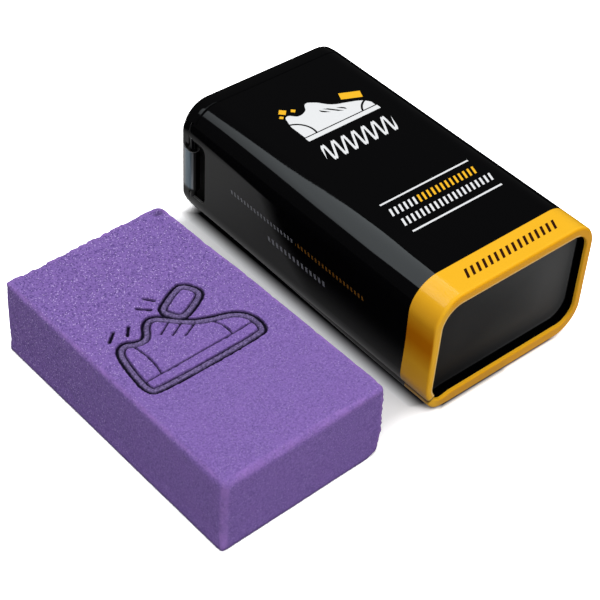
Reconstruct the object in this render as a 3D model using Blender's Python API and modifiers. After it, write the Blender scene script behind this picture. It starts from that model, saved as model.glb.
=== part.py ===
"""A block eraser for suede and its hinged tin, lying side by side.

The tin is drawn standing on its base, with x across its width, y through its thickness and z up to its lid.
A parent empty then lays it on its broad face, so that its base looks along -Y and its lid along +Y.
The origin is the middle of the face that the tin lies on. Everything is in metres.
"""
import math

import bmesh
import bpy
from mathutils import Euler, Vector

MM = 0.001

# Tin, measured over the closed lid
TIN_WIDTH = 52.0 * MM
TIN_THICKNESS = 34.7 * MM
TIN_LENGTH = 93.7 * MM
TIN_CORNER_R = 7.9 * MM
SHEET = 0.25 * MM
RUNNING_GAP = 0.3 * MM

# Rolled rim round the base: an outer bend, a flat ring and an inner edge turned back into the tin
RIM_BEND_R = 1.2 * MM
RIM_WIDTH = 2.5 * MM
RIM_EDGE_R = 0.4 * MM
RIM_EDGE_LEG = 0.5 * MM

# Lid: a shallow cap whose skirt ends in a flattened hem
LID_BEND_R = 2.0 * MM
LID_SKIRT = 3.9 * MM
HEM_R = 0.3 * MM
HEM_LEG = 0.5 * MM

# Neck of the body, which the lid slips over: a stepped shoulder below and an inward curl at the mouth
SHOULDER_INNER_R = 0.4 * MM
NECK_INSET = 2 * HEM_R + RUNNING_GAP
MOUTH_DROP = 1.0 * MM
MOUTH_CURL_R = 0.7 * MM
MOUTH_CURL_TURN = 250

# Base plate: a pan pushed in from the lid end until its flange meets the rim
PAN_RECESS = 2.6 * MM
PAN_RIM_R = 0.5 * MM
PAN_FLOOR_R = 0.3 * MM
PAN_LEG = 4.0 * MM

# Hinge on the narrow side: the lid's tab curls round a rolled bridge that spans a window in the body
KNUCKLE_R = 1.4 * MM
KNUCKLE_PROUD = 0.7 * MM
KNUCKLE_LENGTH = 15.5 * MM
KNUCKLE_TURN = 285
HINGE_DEPTH = 3.6 * MM
BRIDGE_TURN = 300
BRIDGE_ROOT = 0.5 * MM
WINDOW_SIDE_GAP = 1.0 * MM
WINDOW_DEPTH = 8.6 * MM
WINDOW_CORNER_R = 1.5 * MM
TAB_SINK = 0.1 * MM
TAB_NOTCH_GAP = 0.5 * MM
TAB_NOTCH_DEPTH = 0.95 * MM
SKIRT_RELIEF_GAP = 0.4 * MM

# Side seam: the outer layer of sheet ends in the corner below the hinge side, over an inner tongue
SEAM_ANGLE = 25
SEAM_STEP = 0.12 * MM
SEAM_BLEND = 30
SEAM_FADE = 0.03 * MM
TONGUE_WIDTH = 4.0 * MM
TONGUE_BITE = 0.1 * MM

# Eraser block
BLOCK_LENGTH = 80.0 * MM
BLOCK_WIDTH = 45.3 * MM
BLOCK_HEIGHT = 21.5 * MM
BLOCK_EDGE_R = 0.9 * MM
BLOCK_TO_TIN = 16.4 * MM
BLOCK_SHIFT = -9.3 * MM
BLOCK_TURN = 1.57

# Straight steps that each round stretch is drawn with
CORNER_STEPS = 8
BEND_STEPS = 4
LID_BEND_STEPS = 6
CURL_STEPS = 10
KNUCKLE_STEPS = 20

# The hinge's axis, from the tin's own frame
HINGE_X = -TIN_WIDTH / 2 - KNUCKLE_PROUD + KNUCKLE_R
HINGE_Z = TIN_LENGTH - HINGE_DEPTH
BRIDGE_R = KNUCKLE_R - SHEET - RUNNING_GAP
WINDOW_LENGTH = KNUCKLE_LENGTH + 2 * WINDOW_SIDE_GAP


def clear_scene():
    for obj in list(bpy.data.objects):
        bpy.data.objects.remove(obj)


def new_collection(name):
    collection = bpy.data.collections.new(name)
    bpy.context.scene.collection.children.link(collection)
    return collection


def make_material(name, colour, roughness, metallic=0.0, coat=0.0):
    material = bpy.data.materials.new(name)
    material.use_nodes = True
    shader = material.node_tree.nodes["Principled BSDF"]
    shader.inputs["Base Color"].default_value = (*colour, 1.0)
    shader.inputs["Roughness"].default_value = roughness
    shader.inputs["Metallic"].default_value = metallic
    shader.inputs["Coat Weight"].default_value = coat
    return material


def polar(centre, radius, angle):
    """The point at a distance from centre, in the direction of an angle in degrees."""
    turn = math.radians(angle)
    return (centre[0] + radius * math.cos(turn), centre[1] + radius * math.sin(turn))


def arc(centre, radius, start, end, steps):
    """Points on an arc about centre, from one angle to another in degrees, both ends included."""
    return [polar(centre, radius, start + (end - start) * i / steps) for i in range(steps + 1)]


def poly_curve(name, points, cyclic=False):
    """A curve object through flat points, with straight spans."""
    curve = bpy.data.curves.new(name, "CURVE")
    curve.dimensions = "3D"
    curve.twist_mode = "Z_UP"
    spline = curve.splines.new("POLY")
    spline.points.add(len(points) - 1)
    for point, (x, y) in zip(spline.points, points):
        point.co = (x, y, 0.0, 1.0)
    spline.use_cyclic_u = cyclic
    obj = bpy.data.objects.new(name, curve)
    bpy.context.scene.collection.objects.link(obj)
    return obj


def curve_to_mesh(curve_object):
    """The mesh that a curve object draws; the curve object is removed."""
    evaluated = curve_object.evaluated_get(bpy.context.evaluated_depsgraph_get())
    mesh = bpy.data.meshes.new_from_object(evaluated)
    bpy.data.objects.remove(curve_object)
    return mesh


def section_path():
    """The tin's section: a rounded rectangle, run counterclockwise."""
    x = TIN_WIDTH / 2 - TIN_CORNER_R
    y = TIN_THICKNESS / 2 - TIN_CORNER_R
    corners = [((x, -y), -90), ((x, y), 0), ((-x, y), 90), ((-x, -y), 180)]
    points = []
    for centre, start in corners:
        points += arc(centre, TIN_CORNER_R, start, start + 90, CORNER_STEPS)
    return points


def swept_sheet(name, profile):
    """The profile swept round the tin's section, as an open surface.

    A profile point is (minus its inset from the outer wall, height), and the face lies on the profile's left.
    """
    rail = poly_curve(name + "_rail", section_path(), cyclic=True)
    outline = poly_curve(name + "_profile", profile)
    rail.data.bevel_mode = "OBJECT"
    rail.data.bevel_object = outline
    mesh = curve_to_mesh(rail)
    bpy.data.objects.remove(outline)
    mesh.name = name
    return mesh


def close_end(mesh, height):
    """Fills the open loop of edges that lies at the given height with one flat face."""
    sheet = bmesh.new()
    sheet.from_mesh(mesh)
    level = 0.02 * MM
    loop = [e for e in sheet.edges if e.is_boundary and all(abs(v.co.z - height) < level for v in e.verts)]
    bmesh.ops.edgeloop_fill(sheet, edges=loop)
    bmesh.ops.recalc_face_normals(sheet, faces=sheet.faces)
    top = max(sheet.faces, key=lambda f: f.calc_area())
    outward = 1 if height > TIN_LENGTH / 2 else -1
    if top.normal.z * outward < 0:
        bmesh.ops.reverse_faces(sheet, faces=sheet.faces)
    sheet.to_mesh(mesh)
    sheet.free()


def ribbon(name, points, length):
    """An open surface: a flat path in x and z, drawn out to a length centred on y = 0."""
    curve = poly_curve(name, points)
    curve.data.extrude = length / 2
    mesh = curve_to_mesh(curve)
    mesh.transform(Euler((math.radians(90), 0, 0)).to_matrix().to_4x4())
    mesh.name = name
    return mesh


def bar(name, outline, low, high):
    """A closed outline in x and y, filled and drawn out between two heights."""
    curve = poly_curve(name, outline, cyclic=True)
    curve.data.dimensions = "2D"
    curve.data.fill_mode = "BOTH"
    curve.data.extrude = (high - low) / 2
    mesh = curve_to_mesh(curve)
    solid = bmesh.new()
    solid.from_mesh(mesh)
    bmesh.ops.remove_doubles(solid, verts=solid.verts, dist=0.001 * MM)
    bmesh.ops.recalc_face_normals(solid, faces=solid.faces)
    bmesh.ops.translate(solid, verts=solid.verts, vec=(0, 0, (low + high) / 2))
    solid.to_mesh(mesh)
    solid.free()
    mesh.name = name
    return mesh


def box(name, low, high):
    """A box between two corners."""
    solid = bmesh.new()
    bmesh.ops.create_cube(solid, size=1.0)
    low, high = Vector(low), Vector(high)
    bmesh.ops.scale(solid, verts=solid.verts, vec=high - low)
    bmesh.ops.translate(solid, verts=solid.verts, vec=(low + high) / 2)
    mesh = bpy.data.meshes.new(name)
    solid.to_mesh(mesh)
    solid.free()
    return mesh


def add_object(mesh, collection, parent=None, material=None, location=(0, 0, 0)):
    obj = bpy.data.objects.new(mesh.name, mesh)
    obj.location = location
    obj.parent = parent
    collection.objects.link(obj)
    if material:
        mesh.materials.append(material)
    return obj


def thicken(obj):
    """Gives a sheet its thickness, on the side away from its face."""
    solidify = obj.modifiers.new("sheet", "SOLIDIFY")
    solidify.thickness = SHEET
    solidify.offset = -1
    solidify.use_even_offset = True


def combine(obj, tool, operation):
    boolean = obj.modifiers.new(tool.name, "BOOLEAN")
    boolean.operation = operation
    boolean.object = tool


def hide_tool(obj):
    obj.hide_render = True
    obj.display_type = "WIRE"


def smooth(obj):
    obj.data.shade_smooth()
    obj.data.set_sharp_from_angle(angle=math.radians(40))


def body_profile():
    """From the curl inside the mouth, down the neck, shoulder and wall, to the rim's turned edge."""
    curl_centre = (-NECK_INSET - MOUTH_CURL_R, TIN_LENGTH - MOUTH_DROP - MOUTH_CURL_R)
    shoulder = TIN_LENGTH - LID_SKIRT - RUNNING_GAP
    shoulder_outer_r = NECK_INSET - SHOULDER_INNER_R
    neck_foot = (-shoulder_outer_r, shoulder + SHOULDER_INNER_R)
    wall_head = (-shoulder_outer_r, shoulder - shoulder_outer_r)
    ring_end = (-RIM_WIDTH + RIM_EDGE_R, RIM_EDGE_R)
    points = arc(curl_centre, MOUTH_CURL_R, MOUTH_CURL_TURN, 0, CURL_STEPS)
    points += arc(neck_foot, SHOULDER_INNER_R, 180, 270, BEND_STEPS)[:-1]
    points += arc(wall_head, shoulder_outer_r, 90, 0, BEND_STEPS)
    points += arc((-RIM_BEND_R, RIM_BEND_R), RIM_BEND_R, 0, -90, BEND_STEPS)
    points += arc(ring_end, RIM_EDGE_R, -90, -180, BEND_STEPS)
    points += [(-RIM_WIDTH, RIM_EDGE_R + RIM_EDGE_LEG)]
    return points


def lid_profile():
    """From the edge of the lid's plate, down its skirt, to the end of the hem inside."""
    hem_z = TIN_LENGTH - LID_SKIRT + HEM_R
    points = arc((-LID_BEND_R, TIN_LENGTH - LID_BEND_R), LID_BEND_R, 90, 0, LID_BEND_STEPS)
    points += arc((-HEM_R, hem_z), HEM_R, 0, -180, LID_BEND_STEPS)
    points += [(-2 * HEM_R, hem_z + HEM_LEG)]
    return points


def pan_profile():
    """From the top of the outer leg, under the flange and up the recess wall, to the edge of the floor."""
    bend = RIM_BEND_R - SHEET - RUNNING_GAP
    flange_z = SHEET + RUNNING_GAP
    recess_inset = RIM_WIDTH - SHEET - RUNNING_GAP
    floor_z = PAN_RECESS
    points = [(-RIM_BEND_R + bend, RIM_BEND_R + PAN_LEG)]
    points += arc((-RIM_BEND_R, RIM_BEND_R), bend, 0, -90, BEND_STEPS)
    points += arc((-recess_inset + PAN_RIM_R, flange_z + PAN_RIM_R), PAN_RIM_R, -90, -180, BEND_STEPS)
    points += arc((-recess_inset - PAN_FLOOR_R, floor_z - PAN_FLOOR_R), PAN_FLOOR_R, 0, 90, BEND_STEPS)
    return points


def knuckle_path():
    """The lid's tab, seen along the hinge: one sweep off the lid's bend, then the curl round the bridge."""
    bend_centre = Vector((-TIN_WIDTH / 2 + LID_BEND_R, TIN_LENGTH - LID_BEND_R))
    outermost = -TIN_WIDTH / 2 - KNUCKLE_PROUD
    sunk_r = LID_BEND_R - TAB_SINK
    across = bend_centre.x - outermost
    rise = bend_centre.y - HINGE_Z
    # the sweep's circle touches the sunk bend from outside and the curl at its outermost point
    sweep_r = (across ** 2 + rise ** 2 - sunk_r ** 2) / (2 * (across - sunk_r))
    sweep_centre = Vector((outermost + sweep_r, HINGE_Z))
    toward_bend = bend_centre - sweep_centre
    start = math.degrees(math.atan2(toward_bend.y, toward_bend.x))
    points = arc(sweep_centre, sweep_r, start, 180, CURL_STEPS)[:-1]
    points += arc((HINGE_X, HINGE_Z), KNUCKLE_R, 180, 180 + KNUCKLE_TURN, KNUCKLE_STEPS)
    return points


def bridge_path():
    """The body's bridge, seen along the hinge: an open curl, with its slit towards the inside."""
    slit = (360 - BRIDGE_TURN) / 2
    return arc((HINGE_X, HINGE_Z), BRIDGE_R, slit, 360 - slit, KNUCKLE_STEPS)


def window_outline():
    """The hinge window, seen from the narrow side: y along the hinge, z down from above the mouth."""
    half = WINDOW_LENGTH / 2
    low = TIN_LENGTH - WINDOW_DEPTH
    high = TIN_LENGTH
    inner = half - WINDOW_CORNER_R
    points = [(half, high), (-half, high)]
    points += arc((-inner, low + WINDOW_CORNER_R), WINDOW_CORNER_R, 180, 270, BEND_STEPS)
    points += arc((inner, low + WINDOW_CORNER_R), WINDOW_CORNER_R, 270, 360, BEND_STEPS)
    return points


def seam_corner():
    """Centre of the corner that the side seam runs down, and the angle of the outer layer's edge."""
    centre = (-TIN_WIDTH / 2 + TIN_CORNER_R, TIN_THICKNESS / 2 - TIN_CORNER_R)
    return centre, 180 - SEAM_ANGLE


def tongue_outline():
    """The inner layer of the side seam: a band on the inside of the wall, round the corner and up the side."""
    centre, edge = seam_corner()
    outer_r = TIN_CORNER_R - SHEET + TONGUE_BITE
    inner_r = TIN_CORNER_R - 2 * SHEET
    arc_length = math.radians(180 - edge) * TIN_CORNER_R
    end_y = centre[1] - (TONGUE_WIDTH - arc_length)
    points = arc(centre, outer_r, edge - SEAM_BLEND / 2, 180, CORNER_STEPS)
    points += [(centre[0] - outer_r, end_y), (centre[0] - inner_r, end_y)]
    points += arc(centre, inner_r, 180, edge - SEAM_BLEND / 2, CORNER_STEPS)
    return points


def step_outline():
    """What the lower layer gives up beside the outer layer's edge: a sliver that thins away round the corner."""
    centre, edge = seam_corner()
    outside = arc(centre, TIN_CORNER_R + SHEET, edge, edge - SEAM_BLEND, CORNER_STEPS)
    inside = []
    for i in range(CORNER_STEPS + 1):
        share = i / CORNER_STEPS
        depth = SEAM_STEP * share - SEAM_FADE * (1 - share)
        inside.append(polar(centre, TIN_CORNER_R - depth, edge - SEAM_BLEND * (1 - share)))
    return outside + inside


def make_body(parts, cutters, tin, material):
    """The wrapped body sheet, open at both ends, with its rims, neck, side seam, window and bridge."""
    body = add_object(swept_sheet("body_shell", body_profile()), parts, tin, material)
    thicken(body)

    shoulder_foot = TIN_LENGTH - LID_SKIRT - RUNNING_GAP - NECK_INSET
    pan_top = RIM_BEND_R + PAN_LEG
    tongue_mesh = bar("seam_tongue", tongue_outline(), pan_top + RUNNING_GAP, shoulder_foot - RUNNING_GAP)
    tongue = add_object(tongue_mesh, cutters, tin)
    step = add_object(bar("seam_step", step_outline(), RIM_BEND_R / 2, shoulder_foot), cutters, tin)

    window_mesh = bar("hinge_window", window_outline(), -TIN_CORNER_R / 2, TIN_CORNER_R / 2)
    turn = Euler((math.radians(90), 0, math.radians(90))).to_matrix().to_4x4()
    window_mesh.transform(turn)
    window = add_object(window_mesh, cutters, tin, location=(-TIN_WIDTH / 2, 0, 0))

    bridge_mesh = ribbon("hinge_bridge", bridge_path(), WINDOW_LENGTH + 2 * BRIDGE_ROOT)
    bridge = add_object(bridge_mesh, cutters, tin)
    thicken(bridge)

    combine(body, tongue, "UNION")
    combine(body, step, "DIFFERENCE")
    combine(body, window, "DIFFERENCE")
    combine(body, bridge, "UNION")
    for tool in (tongue, step, window, bridge):
        hide_tool(tool)
    smooth(body)
    return body


def make_lid(parts, cutters, axis, material):
    """The lid: cap, hemmed skirt cut back beside the hinge, and the tab with its knuckle."""
    back = tuple(-c for c in axis.location)
    lid_mesh = swept_sheet("lid", lid_profile())
    close_end(lid_mesh, TIN_LENGTH)
    lid = add_object(lid_mesh, parts, axis, material, location=back)
    thicken(lid)

    wall = -TIN_WIDTH / 2
    outside = wall - TIN_CORNER_R
    half = TIN_THICKNESS / 2 + RUNNING_GAP
    relief_z = HINGE_Z + BRIDGE_R + SKIRT_RELIEF_GAP
    skirt_end = TIN_LENGTH - LID_SKIRT - RUNNING_GAP
    relief_mesh = box("skirt_relief", (outside, -half, skirt_end), (HINGE_X + RUNNING_GAP, half, relief_z))
    relief = add_object(relief_mesh, cutters, axis, location=back)
    notch_half = KNUCKLE_LENGTH / 2 + TAB_NOTCH_GAP
    notch_low = (outside, -notch_half, skirt_end)
    notch_high = (wall + LID_BEND_R, notch_half, TIN_LENGTH - TAB_NOTCH_DEPTH)
    notch = add_object(box("tab_notch", notch_low, notch_high), cutters, axis, location=back)
    knuckle = add_object(ribbon("knuckle", knuckle_path(), KNUCKLE_LENGTH), cutters, axis, location=back)
    thicken(knuckle)

    combine(lid, relief, "DIFFERENCE")
    combine(lid, notch, "DIFFERENCE")
    combine(lid, knuckle, "UNION")
    for tool in (relief, notch, knuckle):
        hide_tool(tool)
    smooth(lid)
    return lid


def make_pan(parts, tin, material):
    """The base plate, set back inside the rolled rim."""
    mesh = swept_sheet("base_plate", pan_profile())
    close_end(mesh, PAN_RECESS)
    pan = add_object(mesh, parts, tin, material)
    thicken(pan)
    smooth(pan)
    return pan


def make_block(parts, material):
    """The eraser block, with its origin in the middle of its underside."""
    half = Vector((BLOCK_WIDTH / 2, BLOCK_LENGTH / 2, 0))
    mesh = box("eraser_block", -half, half + Vector((0, 0, BLOCK_HEIGHT)))
    turn = math.radians(BLOCK_TURN)
    half_span = BLOCK_WIDTH / 2 * math.cos(turn) + BLOCK_LENGTH / 2 * math.sin(turn)
    place = (-TIN_WIDTH / 2 - BLOCK_TO_TIN - half_span, BLOCK_SHIFT, 0)
    block = add_object(mesh, parts, material=material, location=place)
    block.rotation_euler.z = turn
    bevel = block.modifiers.new("edges", "BEVEL")
    bevel.width = BLOCK_EDGE_R
    bevel.segments = 3
    smooth(block)
    return block


def main():
    clear_scene()
    parts = new_collection("suede_eraser")
    cutters = new_collection("cutters")
    black = make_material("black_lacquer", (0.008, 0.008, 0.009), 0.12, 0.0, 0.6)
    plate = make_material("black_plate", (0.012, 0.012, 0.013), 0.25, 0.0, 0.4)
    purple = make_material("purple_rubber", (0.225, 0.132, 0.445), 0.85)

    tin = bpy.data.objects.new("tin_frame", None)
    tin.location = (0, -TIN_LENGTH / 2, TIN_THICKNESS / 2)
    tin.rotation_euler = (math.radians(-90), 0, 0)
    parts.objects.link(tin)
    axis = bpy.data.objects.new("hinge_axis", None)
    axis.location = (HINGE_X, 0, HINGE_Z)
    axis.parent = tin
    parts.objects.link(axis)

    make_body(parts, cutters, tin, black)
    make_pan(parts, tin, plate)
    make_lid(parts, cutters, axis, black)
    make_block(parts, purple)


main()
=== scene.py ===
"""A block eraser for suede beside its hinged tin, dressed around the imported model.

The tin lies on its broad face with its lid towards +Y, and its shapes are first worked out standing up:
x across its width, y through its thickness and z from its base to its lid. Lengths are in metres, and in
millimetres in the materials.
"""
import math

import bmesh
import bpy
import numpy as np
from mathutils import Matrix


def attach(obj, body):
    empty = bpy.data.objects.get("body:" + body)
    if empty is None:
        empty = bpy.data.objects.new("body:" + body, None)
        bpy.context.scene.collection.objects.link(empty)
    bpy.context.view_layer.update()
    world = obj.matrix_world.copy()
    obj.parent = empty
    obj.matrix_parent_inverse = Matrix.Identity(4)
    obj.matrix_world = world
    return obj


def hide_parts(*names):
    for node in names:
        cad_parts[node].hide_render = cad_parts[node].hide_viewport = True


MM = 0.001
TINY = 1e-9

# Tin
TIN_WIDTH = 52.0 * MM
TIN_THICKNESS = 34.7 * MM
TIN_LENGTH = 93.7 * MM
TIN_CORNER_R = 7.9 * MM
SHEET = 0.25 * MM
SHEET_PLAY = 0.02 * MM
CORNER_X = TIN_WIDTH / 2 - TIN_CORNER_R
CORNER_Y = TIN_THICKNESS / 2 - TIN_CORNER_R
CORNER_STEPS = 18
MERGE_DISTANCE = 0.002 * MM

# Rolled rim round the base. Its width varies by the spreads, in millimetres, which lie at the bearings, in degrees;
# its inner edge is painted pale between the pale bearings, partly as wear and partly as a painted highlight
RIM_FOOT = -0.15 * MM
RIM_BEND_R = 0.8 * MM
RIM_WIDTH = 2.5 * MM
RIM_EDGE_R = 0.4 * MM
RIM_EDGE_LEG = 0.5 * MM
RIM_BEARINGS = (0, 45, 90, 135, 180, 225, 270, 315, 360)
RIM_SPREAD = (-0.30, 0.30, 0.85, 0.40, -0.50, -0.10, 0.43, 0.10, -0.30)
RIM_TAPER = 0.035
RIM_PALE_BEARINGS = (150, 160, 285, 300)
RIM_PALE_EDGE = 0.8
RIM_PALE_REACH = 0.25 * MM
RIM_PALE_FADE = 0.10 * MM

# Lid, and the neck and mouth under it
LID_TOP = TIN_LENGTH + 0.6 * MM
LID_BEND_R = 0.9 * MM
LID_SKIRT = 3.9 * MM
LID_LEAN = 0.18 * MM
LEAN_FOOT = 1.0 * MM
LEAN_HEIGHT = 2.4 * MM
LEAN_STARTS = (8, 20)
HEM_R = 0.3 * MM
HEM_LEG = 0.5 * MM
HEM_SUPPORT = 0.06 * MM
NECK_INSET = 0.9 * MM
SHOULDER_INNER_R = 0.6 * MM
SHOULDER = TIN_LENGTH - LID_SKIRT - 0.06 * MM
MOUTH_DROP = 1.0 * MM
MOUTH_CURL_R = 0.7 * MM

# Base plate
PAN_RECESS = 3.7 * MM
PAN_RIM_R = 0.35 * MM
PAN_INSET = RIM_WIDTH - SHEET - 0.03 * MM
PAN_PLAY = 0.2 * MM
PAN_LEG = 4.0 * MM
PAN_BOW = 0.12 * MM

# Hinge on the narrow side, whose normals have an x below the bound
KNUCKLE_R = 1.6 * MM
KNUCKLE_HALF = 6.3 * MM
KNUCKLE_MIDDLE = 0.6 * MM
KNUCKLE_TURN = 285
HINGE_SIDE = -0.999
HINGE_X = -25.3 * MM
HINGE_Z = TIN_LENGTH - 3.6 * MM
BRIDGE_R = 0.85 * MM
BRIDGE_ROOT = 0.3 * MM
WINDOW_HALF = 9.1 * MM
WINDOW_LOW = TIN_LENGTH - 9.2 * MM
WINDOW_CORNER_R = 2.0 * MM
NOTCH_HALF = 7.05 * MM
NOTCH_TOP = TIN_LENGTH - 0.95 * MM
RELIEF_X = -25.0 * MM
RELIEF_TOP = HINGE_Z + BRIDGE_R + 0.4 * MM
RELIEF_PLAY = 0.2 * MM
RAISED_SHOULDER = RELIEF_TOP - 0.08 * MM
RAISED_HEIGHTS = (SHOULDER - 3 * MM, SHOULDER - 0.4 * MM, SHOULDER + 0.8 * MM, SHOULDER + 1.2 * MM)

# Side seam: the outer layer's edge, how far the inner layer runs on under it, and how far that springs out below
SEAM_ANGLE = 155
SEAM_BLEND = 30
TONGUE_WIDTH = 4.0 * MM
SEAM_SPRING = 0.8 * MM
SPRUNG_CORNER = (98, 126, 143, 155)
SPRUNG_HEIGHTS = (10 * MM, 80 * MM)
# Width of the seam's pale edge, partly wear and partly painted highlight
SEAM_PALE_EDGE = 0.22 * MM
UNDER_LAYER = (100, 125)
# Where painted shadow under the outer layer's edge lies on the inner layer, in degrees
SHADED_GAP = (146, 151)

# Eraser block, with the radii of its edges: sharp, worn and at the foot
BLOCK_SIZE = (45.3 * MM, 80.0 * MM, 21.5 * MM)
BLOCK_EDGE_R = 0.35 * MM
BLOCK_WORN_R = 2.2 * MM
BLOCK_FOOT_R = 0.8 * MM
FOOT_BLEND = 7 * MM
FRONT_CORNER_REACH = 5 * MM
BLOCK_PLACE = (-66.137 * MM, -9.3 * MM, 0.0)
BLOCK_TURN = math.radians(1.57)

# How far the block's side faces stand out, in millimetres: all over, by slope, at the foot, and along the face
LEFT_OUT = (0.20, 0.25, 0.40, -0.25)
FRONT_OUT = (0.0, 0.10, 0.15, 0.10)
RIGHT_OUT, RIGHT_NEAR_OUT, RIGHT_UNDERCUT = 0.05, 0.33, 0.44
REAR_OUT = 0.65

# Wear on the block: how far from an edge or corner it reaches, from full to none, and how deep it goes
NICK_REACH = (0.2 * MM, 2.2 * MM)
NICK_DEPTH = 0.26 * MM
RAGGED_REACH = (0.1 * MM, 1.0 * MM)
RAGGED_DEPTH = 0.5 * MM
CALM_REACH = (6 * MM, 14 * MM)
CORNER_CUT_REACH = 2.0 * MM
CORNER_CUT_DEPTH = 0.75 * MM
CHIP_PLACE = (20.7, 38.0)
CHIP_SIZE = (1.7, 1.0)
CHIP_DEPTH = 0.6 * MM
SAWN_REACH = (0.3 * MM, 2.0 * MM)
SAWN_DEPTH = 0.30 * MM
# Reach of the pale edges, partly wear and partly painted highlight, and how much further it goes at the front
PALE_EDGE_REACH = (0.4 * MM, 1.3 * MM)
FRONT_PALE_EDGE = 0.6 * MM

# The pressed mark; the reach of its lines from their middles, from full to none, is in millimetres
EMBLEM_CENTRE = (-1.8 * MM, 1.6 * MM)
EMBLEM_HALF = (17.4 * MM, 14.2 * MM)
BORDER_AWAY = 1.7 * MM
BOLD_LINE = (0.26, 0.44)
FINE_LINE = (0.10, 0.32)
GROUND_BAND = (0.0, 0.3, 1.5, 1.8)
GROOVE_DEPTH = 0.9 * MM
GROUND_DEPTH = 0.16 * MM


# ---- lines and surfaces ----

def arc(centre, radius, start, end, steps):
    """Points at a radius from centre, evenly spaced in angle from start to end in degrees, as (n, 2)."""
    a = np.radians(np.linspace(start, end, steps + 1))
    return np.stack([centre[0] + radius * np.cos(a), centre[1] + radius * np.sin(a)], -1)


def direction(angle):
    """The unit vector (x, y) that faces an angle in degrees."""
    return np.array([math.cos(math.radians(angle)), math.sin(math.radians(angle))])


def span(start, end, step):
    """Evenly spaced values from start up to end, both included, no further apart than step."""
    return np.linspace(start, end, max(2, math.ceil(abs(end - start) / step) + 1))


def joined(*runs):
    """Runs of values or points put end to end, with the repeated meeting points left out."""
    kept = [runs[0]]
    for run in runs[1:]:
        kept.append(run[1:])
    return np.concatenate(kept)


def wall_section(flat_y, flat_x):
    """The tin's section as stations of (x, y, normal x, normal y), counterclockwise.

    A rounded rectangle: each corner is a quarter circle, each flat runs straight between two of them.
    flat_y and flat_x hold the stations of the narrow and the broad flats, as offsets from their middles.
    """
    runs = []
    centres = np.array([(1, -1), (1, 1), (-1, 1), (-1, -1)]) * [CORNER_X, CORNER_Y]
    for turn, centre in enumerate(centres):
        a = np.radians(np.linspace(-90, 0, CORNER_STEPS + 1) + 90 * turn)
        n = np.stack([np.cos(a), np.sin(a)], -1)
        runs.append(np.hstack([centre + TIN_CORNER_R * n, n]))
        flat, distance = (flat_x, TIN_THICKNESS / 2) if turn % 2 else (flat_y, TIN_WIDTH / 2)
        out = direction(90 * turn)
        along = np.array([-out[1], out[0]])
        points = out * distance + flat[1:-1, None] * along
        runs.append(np.hstack([points, np.tile(out, (len(points), 1))]))
    return np.concatenate(runs)


def unit(vectors):
    """Each vector divided by its length, or by next to nothing where it has none."""
    return vectors / np.maximum(np.linalg.norm(vectors, axis=1)[:, None], TINY)


def profile_normals(profile):
    """Unit normals on the left of a profile's heading, from the directions of its chords."""
    step = unit(np.diff(profile, axis=0))
    heading = unit(np.vstack([step[:1], step[:-1] + step[1:], step[-1:]]))
    return np.stack([-heading[:, 1], heading[:, 0]], -1)


def swept(section, profile, sink=0.0, swell=0.0, lift=0.0):
    """The profile carried round the section, as a (rows, columns, 3) grid.

    A profile point (r, z) lies r outside the wall's line, at height z. sink moves each column in along the
    surface's own normal, which is how one layer of sheet lies under another; swell adds to r and lift to z.
    """
    m = profile_normals(profile)
    r = profile[:, 0, None] - m[:, 0, None] * sink + swell
    z = profile[:, 1, None] - m[:, 1, None] * sink + lift
    x = section[:, 0] + section[:, 2] * r
    y = section[:, 1] + section[:, 3] * r
    return np.stack([x, y, z + 0 * x], -1)


def bearings(section):
    """The way each station faces, in degrees from 0 to 360."""
    return np.degrees(np.arctan2(section[:, 3], section[:, 2])) % 360


def rim_spread(section, profile):
    """How much further in the rim reaches: widest along the face the tin lies on, narrowest beside the seam.

    The spreads at the bearings are joined by straight runs, and on the seam's side grow evenly towards -y. They
    count in full at the rim's inner edge and ease off to nothing at its bend.
    """
    spread = np.interp(bearings(section), RIM_BEARINGS, RIM_SPREAD)
    beside_seam = np.clip((-section[:, 0] - CORNER_X) / TIN_CORNER_R, 0, 1)
    spread = spread * MM - RIM_TAPER * section[:, 1] * beside_seam
    r, z = profile[:, 0, None], profile[:, 1, None]
    return spread * ease(RIM_BEND_R, RIM_WIDTH - 1.5 * SHEET, -r) * (z < 2 * PAN_RECESS)


def seam_spring(section, profile):
    """How far the corner below the seam stands out: most towards the base, and nothing at the lid."""
    facing = bearings(section)
    sprung = plateau(SPRUNG_CORNER, facing) * (facing < SEAM_ANGLE)
    return SEAM_SPRING * sprung * (1 - ease(*SPRUNG_HEIGHTS, profile[:, 1, None]))


def plate(ring, shares, rise=0.0):
    """The given ring shrunk by each share towards its middle, which fills it with a flat or slightly domed face.

    The dome's height is its rise times the square of one less the share squared.
    """
    middle = np.array([0.0, 0.0, ring[0, 2]])
    grid = middle + (ring - middle) * shares[:, None, None]
    grid[..., 2] += rise * (1 - shares[:, None] ** 2) ** 2
    return grid


def ribbon(path, stations):
    """A path of (x, z) points carried along y."""
    x = np.broadcast_to(path[:, 0], (len(stations), len(path)))
    z = np.broadcast_to(path[:, 1], x.shape)
    y = np.broadcast_to(stations[:, None], x.shape)
    return np.stack([x, y, z], -1)


def lie_down(points):
    """From the standing tin to its place: its thickness becomes height, its length runs along Y."""
    return np.stack([points[..., 0], points[..., 2] - TIN_LENGTH / 2, TIN_THICKNESS / 2 - points[..., 1]], -1)


def patch(grid, keep=None, closed=False):
    """A (rows, columns, 3) grid with its faces, as corner numbers; keep is a mask over its cells.

    A closed patch has one more column of cells, from its last column back to its first.
    """
    number = np.arange(grid.size // 3).reshape(grid.shape[:2])
    if closed:
        number = np.hstack([number, number[:, :1]])
    faces = np.stack([number[:-1, :-1], number[1:, :-1], number[1:, 1:], number[:-1, 1:]], -1)
    return grid, faces.reshape(-1, 4) if keep is None else faces[keep]


def add_to_scene(name, data):
    """A new object that shows the given data."""
    obj = bpy.data.objects.new(name, data)
    bpy.context.scene.collection.objects.link(obj)
    return obj


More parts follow.
